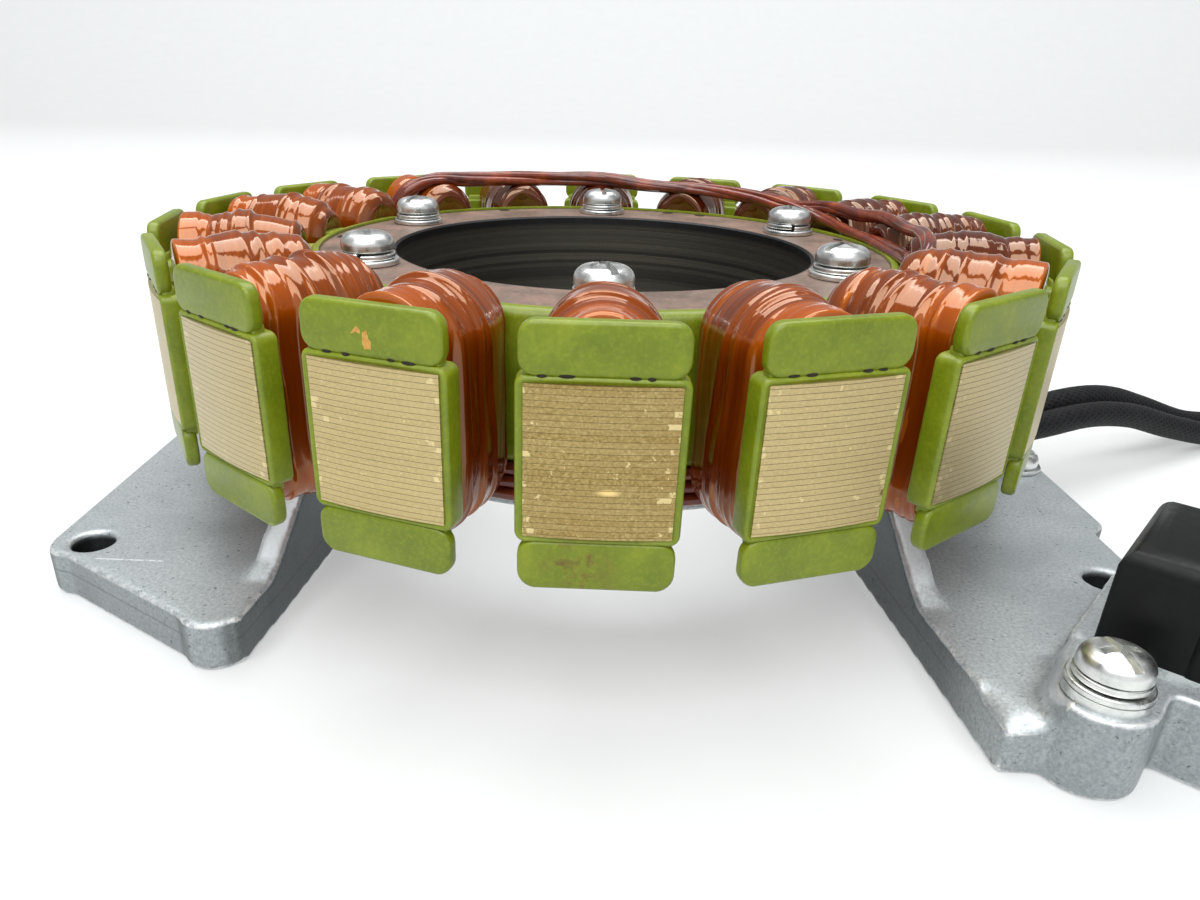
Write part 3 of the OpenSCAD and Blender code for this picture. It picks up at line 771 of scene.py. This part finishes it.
# %% Pinholes and dimples, as specks of painted shade
# Painted shade: dark specks stand for the shade inside the coat's pinholes and the ring's dimples.
painted_pinhole_shade = new_finish("pinhole_shade", Roughness=0.9)
feed("Base Color", ramp(grain(900), [(0.3, (10, 10, 6)), (0.7, (44, 34, 14))]))
dice = random.Random(4)
shape = bmesh.new()


def speck(shape, size, matrix):
    made = ops.create_uvsphere(shape, u_segments=8, v_segments=5, radius=0.5 * mm)["verts"]
    ops.scale(shape, verts=made, vec=size)
    ops.transform(shape, matrix=matrix, verts=made)


for number in range(1, teeth + 1):
    for x in (-8.2, -4.4, 4.0, 7.2):
        spot = moved(x + dice.uniform(-0.8, 0.8), -99.15, 13.15 + dice.uniform(-0.1, 0.15))
        size = (dice.uniform(0.9, 2.8), 0.9, dice.uniform(0.55, 0.85))
        speck(shape, size, at_tooth(number) @ spot)
for bearing in (-153, 162, 153, 108, 95, -93, -30, 28):
    turned = Matrix.Rotation(math.radians(bearing), 4, "Z")
    speck(shape, (3.4, 2.2, 0.3), turned @ moved(0, -63.6, plate_top))
keep(shape, "pinholes", painted_pinhole_shade)

# %% Chips
ochre = new_finish("ochre_primer", Roughness=0.6)
feed("Base Color", ramp(grain(1500), [(0.3, (226, 164, 70)), (0.7, (250, 210, 120))]))
shape = bmesh.new()
chip_outlines = [[(-3.0, 16.3), (-1.9, 17.6), (-1.2, 17.0), (-1.3, 16.5), (-2.0, 16.7)],
                 [(-0.9, 16.8), (-0.1, 17.1), (0.1, 15.9), (0.5, 15.6), (0.4, 14.4), (-0.7, 14.3),
                  (-1.0, 15.2)]]
for outline in chip_outlines:
    shape.faces.new([shape.verts.new((x * mm, (-tip_front - 0.02) * mm, z * mm)) for x, z in outline])
ops.solidify(shape, geom=shape.faces[:], thickness=0.1 * mm)
ops.transform(shape, matrix=at_tooth(teeth), verts=shape.verts)
keep(shape, "coat_chips", ochre)

# %% [markdown]
# ## Coils
# Each tooth carries a coil of enamelled wire under thick amber varnish. No two are alike: the
# turns lie in broad bands that overlap a little, with ridges and steps between them. A line of
# points across the coil is drawn up one side, spun over the top, drawn down the other and spun
# under, and then each point is pushed out or in by the bands of that coil. A UV map along and
# across the turns lets streaks in the varnish run the way the wire does.

# %% Coil varnish finish
coil_varnish = new_finish("coil_varnish", Roughness=0.1, Specular_IOR_Level=1.0,
                          Specular_Tint=(1.0, 0.68, 0.44, 1),
                          Coat_Weight=0.2, Coat_Roughness=0.03, Coat_IOR=1.45)
turns = add("UVMap", uv_map="along_turns").outputs[0]
streaks = grain(420, 4, 0.65, stretched(turns, (1, 0.06, 1)))
broad = grain(120, 3, 0.5, stretched(turns, (1, 0.2, 1)))
amber = ramp(scaled(streaks, 0.6, times(broad, 0.4)),
             [(0.3, (70, 18, 1)), (0.5, (124, 53, 4)), (0.7, (172, 88, 13))])
outward, _, _ = in_mm(turns)
by_tip = step(outward, 18.5, 21)
amber = tinted(amber, by_tip, 0.45, (176, 80, 6))
at_x, at_y, at_z = in_mm(place)
# Painted shade: the coils at the back, and towards the back on the right, are painted much darker.
rear_coil_shade = times(step(at_y, -45, -16), step(at_x, -62, -30))
amber = tinted(amber, rear_coil_shade, 0.85, (58, 17, 9))
# Painted shade: the sides of each coil, between its arches, are painted deeper and redder.
flank_shade = step(unsigned(at_z), 17, 9)
amber = tinted(amber, flank_shade, 0.5, (62, 13, 1))
# Painted shade: the end of each coil against the yoke is painted darker.
yoke_end_shade = step(outward, 2.6, 0.5)
amber = tinted(amber, yoke_end_shade, 0.65, (62, 16, 4))
# Painted shade in the grooves between bands, and a painted highlight on the ridges, found by how sharply the
# surface bends.
bend = add("NewGeometry").outputs["Pointiness"]
amber = tinted(amber, step(bend, 0.495, 0.455), 0.75, (54, 12, 3))
amber = tinted(amber, step(bend, 0.515, 0.56), 0.4, (196, 112, 36))
feed("Base Color", amber)
fine_turns = calc("SINE", times(outward, math.tau / 0.9))
ripple = scaled(fine_turns, 0.06, streaks)
feed("Normal", bumped(ripple, 0.12, 0.5))
feed("Coat Normal", bumped(broad, 0.2, 0.8))

# %% Coil shape
coil_r0, coil_len, arch_z = 68.9, 26.1, 12
shoulder_y = coil_len - 7
arc_l, flank_l = 22, 24
turn_l = 2 * (arc_l + flank_l)
step_w, lip_w, fold_w = 0.7, 0.55, 0.42
line_steps, core_limit = 58, 6.2


def eased_step(value):
    """0 below 0, 1 above 1 and smooth between."""
    share = min(1, max(0, value))
    return share * share * (3 - 2 * share)


def coil_half(y):
    """Half the coil's width at a distance from its yoke end, as in the CAD model."""
    swell = 8 + 1.7 * math.sin(math.radians(130 * min(y, shoulder_y) / shoulder_y))
    return swell + (7.6 - swell) * eased_step((y - shoulder_y) / 1.4)


def turn_place(x, z):
    """How far along a turn a point lies, in millimetres from the bottom."""
    if z < -arch_z:
        return math.atan2(x, -z - arch_z) / math.pi * arc_l % turn_l
    if z > arch_z:
        return turn_l / 2 + math.atan2(-x, z - arch_z) / math.pi * arc_l
    return arc_l / 2 + z + arch_z if x > 0 else turn_l - arc_l / 2 - z - arch_z


def band_plan(dice):
    """The bands of one coil (start, lift, wander, phase, lip) and the narrow folds across them."""
    bands, y = [], dice.uniform(1.0, 2.5)
    while y < coil_len - 1.5:
        bands.append((y, dice.uniform(-0.7, 0.5), dice.uniform(0.4, 2.4), dice.uniform(0, math.tau),
                      dice.uniform(0.05, 0.5)))
        y += dice.uniform(1.8, 8.0)
    folds = [(dice.uniform(2, coil_len - 2), dice.uniform(-4, 4), dice.uniform(0, math.tau),
              dice.uniform(0.15, 0.45)) for _ in range(4)]
    return bands, folds


def band_height(y, turn_share, plan, seed):
    """How far the bands push the surface out at one place."""
    height = 0.15
    round_turn = turn_share * math.tau
    for start, lift, wander, phase, lip in plan[0]:
        away = y - start - wander * math.sin(round_turn + phase)
        height += (lift - height) * eased_step(away / step_w + 0.5)
        height += lip * math.exp(-(away / lip_w) ** 2)
    for start, slant, phase, tall in plan[1]:
        away = y - start - slant * math.sin(round_turn + phase)
        height += tall * math.exp(-(away / fold_w) ** 2) * (0.55 + 0.45 * math.sin(2 * round_turn + 3 * phase))
    lumps = noise.noise(Vector((y * 0.16, math.cos(round_turn) * 1.6, math.sin(round_turn) * 1.6 + seed)))
    return height + 0.5 * lumps


def coil_skin(shape, number):
    """One coil in front of the axis."""
    ends = [(2.2, 1.4), (4.4, 0.7), (6.2, 0.15), (coil_half(0) - 0.8, 0.05)]
    line = [(coil_half(i * coil_len / line_steps), 0.35 + i * (coil_len - 0.7) / line_steps)
            for i in range(line_steps + 1)]
    tail = [(coil_half(coil_len) - 0.8, coil_len), (5.8, coil_len + 0.1), (2.2, coil_len)]
    verts = [shape.verts.new((h * mm, -(coil_r0 + y) * mm, -arch_z * mm)) for h, y in ends + line + tail]
    edges = [shape.edges.new(pair) for pair in zip(verts, verts[1:])]

    def draw_up(geometry, height):
        for _ in range(6):
            grown = ops.extrude_edge_only(shape, edges=of_kind(geometry, Edge))["geom"]
            ops.translate(shape, verts=of_kind(grown, Vert), vec=(0, 0, height / 6 * mm))
            geometry = of_kind(grown, (Vert, Edge))
        return geometry

    def spin_over(geometry, z):
        return ops.spin(shape, geom=geometry, cent=(0, 0, z * mm), axis=(0, -1, 0), angle=math.pi,
                        steps=18)["geom_last"]

    over_top = spin_over(draw_up(edges, flank_l), arch_z)
    spin_over(draw_up(over_top, -flank_l), -arch_z)
    ops.remove_doubles(shape, verts=shape.verts, dist=0.01 * mm)
    plan = band_plan(random.Random(100 + number))
    for v in shape.verts:
        x, y, z = v.co.x / mm, -v.co.y / mm - coil_r0, v.co.z / mm
        centre = max(-arch_z, min(arch_z, z))
        out = Vector((x, 0, z - centre))
        if out.length < core_limit:
            continue
        push = band_height(y, turn_place(x, z) / turn_l, plan, number * 3.7)
        push += (coil_half(min(y, shoulder_y)) - coil_half(y)) * abs(out.z) / out.length
        push -= 1.5 * max(0, 1 - y / 3.2) ** 2
        v.co += out.normalized() * push * mm


def give_turn_uv(shape):
    """U runs from the yoke end outwards and V along the turn, both in metres."""
    layer = shape.loops.layers.uv.new("along_turns")
    for face in shape.faces:
        spots = [turn_place(l.vert.co.x / mm, l.vert.co.z / mm) for l in face.loops]
        for l, spot in zip(face.loops, spots):
            wrap = turn_l if spot < turn_l / 4 and max(spots) > turn_l * 3 / 4 else 0
            l[layer].uv = (-l.vert.co.y - coil_r0 * mm, (spot + wrap) * mm)


for number in range(1, teeth + 1):
    shape = bmesh.new()
    coil_skin(shape, number)
    give_turn_uv(shape)
    ops.transform(shape, matrix=at_tooth(number), verts=shape.verts)
    node = f"coil_{number:02d}"
    coil = keep(shape, node + "_turns", coil_varnish, [node], smooth_below=70)
    rounding = coil.modifiers.new("rounding", "SUBSURF")
    rounding.levels = rounding.render_levels = 1

# %% [markdown]
# ## Jumper wires and the bundle
# Wires that join the coils run under their inner ends, and a bundle of them lies over the rear
# coils and comes down to the yoke on the right. The ring under the coils keeps its CAD shape.
# The bundle is drawn as single wires: round curves that wander a little about the CAD route.

# %% Wire finish
wire_varnish = new_finish("wire_varnish", Roughness=0.4, Specular_IOR_Level=0.15,
                          Coat_Weight=1.0, Coat_Roughness=0.08, Coat_IOR=1.45)
tone = grain(160, 4, 0.6)
feed("Base Color", ramp(tone, [(0.3, (62, 16, 6)), (0.55, (108, 40, 16)), (0.75, (146, 66, 28))]))
feed("Normal", bumped(grain(700, 3), 0.2, 0.3))
dress("jumper_wires", wire_varnish)

# %% Bundle


def bundle_wire(name, points, diameter):
    """A round wire through points, as a curve with a bevel."""
    data = bpy.data.curves.new(name, "CURVE")
    data.dimensions, data.resolution_u, data.use_fill_caps = "3D", 4, True
    data.bevel_depth, data.bevel_resolution = diameter / 2 * mm, 3
    spline = data.splines.new("BEZIER")
    spline.bezier_points.add(len(points) - 1)
    for knot, point in zip(spline.bezier_points, points):
        knot.co = point
        knot.handle_left_type = knot.handle_right_type = "AUTO"
    data.materials.append(wire_varnish)
    enlist(placed(name, data), ["neutral_bundle"])


# bearing from the front in degrees, distance from the axis and height, both in millimetres
trunk = [(230, 79, 12), (229.5, 78.5, 16.5), (227, 77, 20), (222, 75.2, 22.4), (214, 74, 22.6),
         (204, 73, 22.7), (192, 74, 22.5), (180, 72.5, 22.5), (168, 70.8, 21.8), (155, 70, 20.8),
         (141, 69.8, 20), (130, 70, 19.4)]
upper_branch = [(120, 70.3, 20.6), (110, 70.2, 20.2), (100, 70.6, 21.1), (90, 71.2, 20.4), (81, 72, 20.8),
                (75, 72.3, 19.8), (71, 72, 17.8), (69, 70.4, 16), (67, 69, 14)]
lower_branch = [(119, 68.6, 17.4), (108, 67.8, 16), (98, 67.6, 15.8), (88, 67.7, 15.8), (79, 68.4, 16),
                (73, 68.8, 16), (68, 68.6, 14)]


def bundle_point(stop, phase, spread):
    """A place on the bundle's route, set off to one side by a wire's own turn about it."""
    bearing, radius, height = stop
    angle = math.radians(bearing)
    radius += spread * math.cos(phase)
    height += 0.75 * spread * math.sin(phase) - 0.5
    return Vector((radius * math.sin(angle), -radius * math.cos(angle), height)) * mm


dice = random.Random(21)
trunk = [(bearing, radius + dice.uniform(-0.9, 0.9), height + dice.uniform(-0.6, 0.5))
         for bearing, radius, height in trunk]
strand_count = 8
for number in range(strand_count):
    branch = upper_branch if number % 2 else lower_branch
    first = dice.choice((0, 0, 1, 2))
    points = []
    for i, stop in enumerate((trunk + branch)[first:]):
        spread = (1.5 if i + first < len(trunk) else 0.85) * dice.uniform(0.7, 1.15)
        points.append(bundle_point(stop, number * math.tau / strand_count + i * 0.55, spread))
    bundle_wire(f"bundle_wire_{number + 1}", points, dice.uniform(1.7, 2.4))
print(strand_count, "wires in the bundle")

# %% [markdown]
# ## Screws and washers
# Pan-head screws with a slot and a cross recess hold the core and the pickup, over a split spring
# washer and a flat washer. A head is a spun profile; the slot and the cross are cut out of it with
# a boolean, and a narrow bevel on the new edges catches the light as worn plating does.

# %% Zinc finish
zinc = new_finish("zinc_plating", Metallic=1.0)
smudged = grain(240, 5, 0.65)
silver = ramp(smudged, [(0.28, (186, 188, 186)), (0.5, (222, 224, 222)), (0.75, (238, 240, 236))])
grubby = step(grain(420, 4, 0.7), 0.62, 0.72)
silver = tinted(silver, grubby, 0.7, (96, 104, 98))
feed("Base Color", silver)
feed("Roughness", scaled(smudged, 0.4, 0.12))
feed("Normal", bumped(grain(380, 4), 0.12, 0.3))

# %% Screw parts
head_d, head_h, slot_w, slot_deep, cross_deep = 11.1, 4.2, 1.5, 1.3, 2.4
dome_low, dome_w, dome_h = 1.3, 2.6, 2.45
split_gap, split_rise, split_steps = 0.12, 0.35, 48


def carved(shape, cutters):
    """A bmesh with other shapes cut out of it."""
    tool_mesh = bpy.data.meshes.new("carving_tool")
    cutters.to_mesh(tool_mesh)
    cutters.free()
    tool = placed("carving_tool", tool_mesh)
    result = applied(shape, "BOOLEAN", operation="DIFFERENCE", solver="EXACT", object=tool)
    bpy.data.objects.remove(tool)
    return result


def pan_head(turned):
    """A screw head on z = 0 with its slot turned by an angle."""
    profile = [(0, -0.01), (5.2, 0), (head_d / 2, 0.35), (head_d / 2, dome_low)]
    for i in range(1, 9):
        angle = math.radians(i * 11.25)
        profile.append((head_d / 2 - dome_w + dome_w * math.cos(angle), dome_low + dome_h * math.sin(angle)))
    profile += [(1.5, 4.1), (0, head_h)]
    head = bmesh.new()
    lathe(head, profile, 48)
    ops.remove_doubles(head, verts=head.verts, dist=0.01 * mm)
    ops.recalc_face_normals(head, faces=head.faces)
    tools = bmesh.new()
    block(tools, (slot_w, 14, 3), (0, 0, head_h - slot_deep + 1.5))
    cross = bmesh.new()
    block(cross, (6, slot_w, 4), (0, 0, head_h - cross_deep + 2))
    head = carved(carved(head, tools), cross)
    ops.rotate(head, verts=head.verts, cent=(0, 0, 0), matrix=Matrix.Rotation(turned, 3, "Z"))
    return head


def washer(outer_d, inner_d, thick, gap_at=None):
    """A flat ring, or with a gap a split spring washer whose ends stand apart in height."""
    ring = bmesh.new()
    rim = outer_d / 2
    section = [(inner_d / 2, 0), (rim - 0.2, 0), (rim, 0.2), (rim, thick - 0.2), (rim - 0.2, thick),
               (inner_d / 2, thick)]
    if gap_at is None:
        lathe(ring, section, 56, closed=True)
    else:
        face = ring.faces.new([ring.verts.new((r * mm, 0, z * mm)) for r, z in section])
        ops.spin(ring, geom=[face], cent=(0, 0, 0), axis=(0, 0, 1), dvec=(0, 0, split_rise / split_steps * mm),
                 angle=math.tau - split_gap, steps=split_steps)
        ops.rotate(ring, verts=ring.verts, cent=(0, 0, 0), matrix=Matrix.Rotation(gap_at, 3, "Z"))
    return ring


def set_at(target, part, place):
    """Moves a part to its place and joins it to a target bmesh."""
    ops.transform(part, matrix=place, verts=part.verts)
    ops.recalc_face_normals(part, faces=part.faces)
    loose = bpy.data.meshes.new("loose_part")
    part.to_mesh(loose)
    part.free()
    target.from_mesh(loose)
    bpy.data.meshes.remove(loose)


def polished(piece, width=0.18):
    """A narrow bevel along sharp edges."""
    edge = piece.modifiers.new("worn_edges", "BEVEL")
    edge.width, edge.segments = width * mm, 2
    edge.limit_method, edge.angle_limit = "ANGLE", math.radians(38)


washer_d, spring_d, shank_d, washer_t, spring_t, spring_high = 12.9, 11.4, 6.6, 1.2, 1.15, 1.5


def screw_set(places, names, stands_for):
    """Heads, spring washers and flat washers on seats given as (matrix, slot turn, gap turn)."""
    heads, springs, flats = bmesh.new(), bmesh.new(), bmesh.new()
    for seat, turned, gap in places:
        set_at(flats, washer(washer_d, shank_d, washer_t), seat)
        set_at(springs, washer(spring_d, shank_d, spring_t, gap), seat @ moved(0, 0, washer_t))
        set_at(heads, pan_head(turned), seat @ moved(0, 0, washer_t + spring_high))
    for shape, name, node in zip((heads, springs, flats), names, stands_for):
        polished(keep(shape, name, zinc, [node], smooth_below=38))


# %% Screws in their places
core_seats = []
for i, slot_turn in enumerate((0.4, 1.1, 2.2, 0.1, 1.7, 2.9)):
    seat = Matrix.Rotation(i * math.tau / 6, 4, "Z") @ moved(0, -57, plate_top)
    core_seats.append((seat, slot_turn, 0.7 + i))
screw_set(core_seats, ("core_screw_heads", "core_spring_rings", "core_washer_rings"),
          ("core_screws", "core_spring_washers", "core_flat_washers"))
pickup_turn = Matrix.Rotation(math.radians(49.7), 4, "Z")
boss_seat = pickup_turn @ moved(-25.4, -127.2, 16.8 + floor_level)
screw_set([(boss_seat, -0.75, 4.9)], ("pickup_screw_head", "pickup_spring_ring", "pickup_washer_ring"),
          ("pickup_screw", "pickup_spring_washer", "pickup_flat_washer"))
earth_seat = moved(110.5, 2, plate_z)
for part, height, name, node in (
        (washer(washer_d, shank_d, washer_t), 0, "earth_washer_ring", "earth_washer"),
        (pan_head(1.2), washer_t, "earth_screw_head", "earth_screw")):
    ops.transform(part, matrix=earth_seat @ moved(0, 0, height), verts=part.verts)
    polished(keep(part, name, zinc, [node], smooth_below=38))
dress("pickup_foot_plate", zinc)

# %% [markdown]
# ## Pickup
# The black block beside the core senses the rotor's magnets as they pass. It is potted in resin:
# a satin block with generously rounded upper edges and a shallow step where two halves of the
# mould met. The step is a second, slightly larger block that is bevelled in the same way.

# %% Resin finish
black_resin = new_finish("black_resin", Specular_IOR_Level=0.22)
satin = grain(700, 4, 0.6)
scuffs = step(grain(420, 5, 0.75, stretched(place, (1, 1, 0.25))), 0.6, 0.74)
feed("Base Color", tinted(srgb(3, 4, 4), scuffs, 0.35, (28, 30, 31)))
feed("Roughness", scaled(satin, 0.25, 0.3))
feed("Normal", bumped(satin, 0.1, 0.2))

# %% Pickup body
pickup_low, pickup_h, pickup_w, pickup_near, pickup_far = -33.2, 18.4, 30, 122, 150


def resin_block(shape, wide, near_r, far_r, high):
    made = block(shape, (wide, far_r - near_r, high), (0, -(near_r + far_r) / 2, pickup_low + high / 2))
    below_top = (pickup_low + high - 0.1) * mm
    soft = rounded(shape, edges_of(made, lambda e: all(v.co.z > below_top for v in e.verts)), 4, 6)
    left = {v for v in made if v.is_valid} | set(soft)
    rounded(shape, edges_of(left, along(2)), 1.2, 3)


shape = bmesh.new()
resin_block(shape, pickup_w - 0.8, pickup_near, pickup_far - 1, pickup_h - 0.2)
second = bmesh.new()
resin_block(second, pickup_w, pickup_near + 13, pickup_far, pickup_h)
set_at(shape, second, Matrix.Identity(4))
ops.transform(shape, matrix=pickup_turn, verts=shape.verts)
keep(shape, "pickup_block", black_resin, ["pickup_body"], smooth_below=35)

# %% [markdown]
# ## Connector
# Both leads end in one small black housing with two sockets and a latch on top. It lies outside
# the photo, so it is a plain one of its kind: a bevelled block, carved sockets and an added latch.

# %% Connector finish
nylon = new_finish("black_nylon", Specular_IOR_Level=0.45)
moulded = grain(900, 3, 0.6)
feed("Base Color", ramp(moulded, [(0.3, (24, 24, 26)), (0.7, (40, 40, 42))]))
feed("Roughness", scaled(moulded, 0.2, 0.42))
feed("Normal", bumped(moulded, 0.12, 0.15))

# %% Connector shape
plug_x, plug_w, plug_l, plug_h = 254, 20, 30, 14
shape = bmesh.new()
housing = block(shape, (plug_w, plug_l, plug_h), (plug_x, plug_y - plug_l / 2, plug_h / 2 + floor_level))
rounded(shape, edges_of(housing), 1, 3)
sockets = bmesh.new()
for side in (-1, 1):
    block(sockets, (6.6, 12, 7), (plug_x + side * 5, plug_y - plug_l + 5, plug_h / 2 + floor_level))
shape = carved(shape, sockets)
latch = bmesh.new()
arm = block(latch, (7, 16, 1.6), (plug_x, plug_y - 16, plug_h + floor_level + 0.6))
rounded(latch, edges_of(arm), 0.5, 2)
set_at(shape, latch, Matrix.Identity(4))
plug = keep(shape, "connector_housing", nylon, ["lead_connector"], smooth_below=35)
